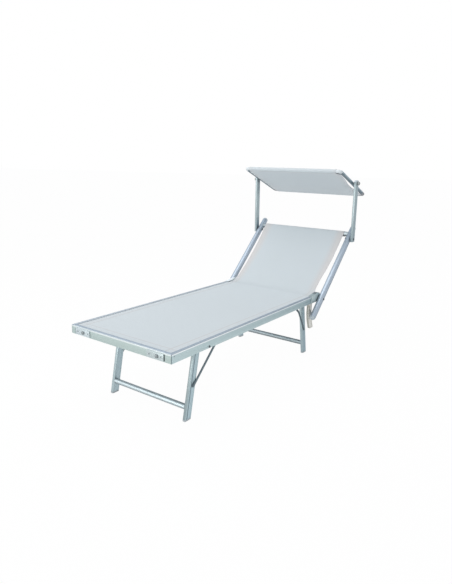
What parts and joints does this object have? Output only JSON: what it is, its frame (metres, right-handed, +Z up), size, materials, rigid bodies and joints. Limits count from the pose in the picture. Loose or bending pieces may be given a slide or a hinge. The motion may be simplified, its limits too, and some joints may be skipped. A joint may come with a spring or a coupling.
{
  "type": "sun lounger with canopy",
  "caption": "Folding sun lounger with a fabric sling on a rail frame, hinged legs with hooked braces, a reclining backrest on notched racks and a tilting sunshade on swing arms.",
  "frame": {"origin": "centre of the whole bounding box on the ground plane, under the middle of the lounger", "axes": "+Y along the lounger from the foot end to the head, +Z up, +X to the sitter's right seen from the head looking at the foot end"},
  "size_m": [0.7406, 1.8104, 1.0819],
  "materials": {
    "frame_tube": "satin anodised",
    "light_trim": "smooth moulded",
    "grey_plastic": "fine matte",
    "rack_plastic": "fine matte",
    "brace_steel": "dark grey paint",
    "dark_steel": "dark plated",
    "sling_mesh": "fine coated mesh"
  },
  "bodies": {
    "frame": {"side_rail_right": "frame_tube", "side_rail_left": "frame_tube", "front_rail": "frame_tube", "rail_end_cap_right": "grey_plastic", "rail_end_cap_left": "grey_plastic", "rear_cross_tube": "frame_tube", "front_plate_left": "frame_tube", "front_plate_right": "frame_tube", "sling_seat": "sling_mesh", "leg_pivot_bolt_front_right": "dark_steel", "leg_pivot_bolt_front_left": "dark_steel", "leg_pivot_bolt_rear_right": "dark_steel", "leg_pivot_bolt_rear_left": "dark_steel", "adjuster_rack_right": "rack_plastic", "adjuster_rack_left": "rack_plastic", "backrest_pivot_bolt_right": "dark_steel", "backrest_pivot_bolt_left": "dark_steel", "leg_bracket_front_right": "brace_steel", "leg_bracket_front_left": "brace_steel", "leg_bracket_rear_right": "brace_steel", "leg_bracket_rear_left": "brace_steel"},
    "front_legs": {"leg_front_right": "frame_tube", "leg_front_left": "frame_tube", "crossbar_front": "frame_tube", "foot_cap_front_right": "light_trim", "foot_cap_front_left": "light_trim"},
    "front_braces": {"brace_front_right": "brace_steel", "brace_front_left": "brace_steel"},
    "rear_legs": {"leg_rear_right": "frame_tube", "leg_rear_left": "frame_tube", "crossbar_rear": "frame_tube", "foot_cap_rear_right": "light_trim", "foot_cap_rear_left": "light_trim"},
    "rear_braces": {"brace_rear_right": "brace_steel", "brace_rear_left": "brace_steel"},
    "backrest": {"backrest_tube_right": "frame_tube", "backrest_tube_left": "frame_tube", "tube_top_cap_right": "light_trim", "tube_top_cap_left": "light_trim", "latch_cap_right": "light_trim", "latch_cap_left": "light_trim", "backrest_top_tube": "frame_tube", "arm_pivot_bolt_right": "dark_steel", "arm_pivot_bolt_left": "dark_steel", "sling_back": "sling_mesh"},
    "canopy_arms": {"canopy_arm_right": "frame_tube", "canopy_arm_left": "frame_tube", "arm_top_cap_right": "light_trim", "arm_top_cap_left": "light_trim"},
    "canopy": {"canopy_side_bar_right": "frame_tube", "canopy_side_bar_left": "frame_tube", "canopy_front_tube": "frame_tube", "canopy_rear_tube": "frame_tube", "canopy_corner_front_right": "light_trim", "canopy_corner_front_left": "light_trim", "canopy_corner_rear_right": "light_trim", "canopy_corner_rear_left": "light_trim", "canopy_cloth": "sling_mesh"},
    "knob_left": {"canopy_knob_left": "light_trim"},
    "knob_right": {"canopy_knob_right": "light_trim"}
  },
  "joints": [
    {"name": "front_leg_fold", "type": "hinge", "parent": "frame", "child": "front_legs", "pos_m": [0, -0.65038, 0.34], "axis": [1, 0, 0], "range_deg": [0, 98]},
    {"name": "front_brace_fold", "type": "hinge", "parent": "front_legs", "child": "front_braces", "pos_m": [0, -0.6837, 0.15293], "axis": [1, 0, 0], "range_deg": [-138.5, 0]},
    {"name": "rear_leg_fold", "type": "hinge", "parent": "frame", "child": "rear_legs", "pos_m": [0, 0.31562, 0.34], "axis": [1, 0, 0], "range_deg": [-98, 0]},
    {"name": "rear_brace_fold", "type": "hinge", "parent": "rear_legs", "child": "rear_braces", "pos_m": [0, 0.34925, 0.15299], "axis": [1, 0, 0], "range_deg": [0, 147.5]},
    {"name": "backrest_recline", "type": "hinge", "parent": "frame", "child": "backrest", "pos_m": [0, 0.38002, 0.35], "axis": [1, 0, 0], "range_deg": [-28.8, 28.8]},
    {"name": "canopy_arm_swing", "type": "hinge", "parent": "backrest", "child": "canopy_arms", "pos_m": [0, 0.71058, 0.667], "axis": [1, 0, 0], "range_deg": [-46, 75]},
    {"name": "canopy_tilt", "type": "hinge", "parent": "canopy_arms", "child": "canopy", "pos_m": [0, 0.69887, 1.0023], "axis": [1, 0, 0], "range_deg": [-60, 60]},
    {"name": "knob_left_turn", "type": "hinge", "parent": "canopy_arms", "child": "knob_left", "pos_m": [0, 0.69887, 1.0023], "axis": [1, 0, 0], "continuous": true},
    {"name": "knob_right_turn", "type": "hinge", "parent": "canopy_arms", "child": "knob_right", "pos_m": [0, 0.69887, 1.0023], "axis": [1, 0, 0], "continuous": true}
  ],
  "couplings": [
    {"joint": "front_brace_fold", "follows": "front_leg_fold", "ratio": -1.41},
    {"joint": "rear_brace_fold", "follows": "rear_leg_fold", "ratio": -1.5}
  ]
}
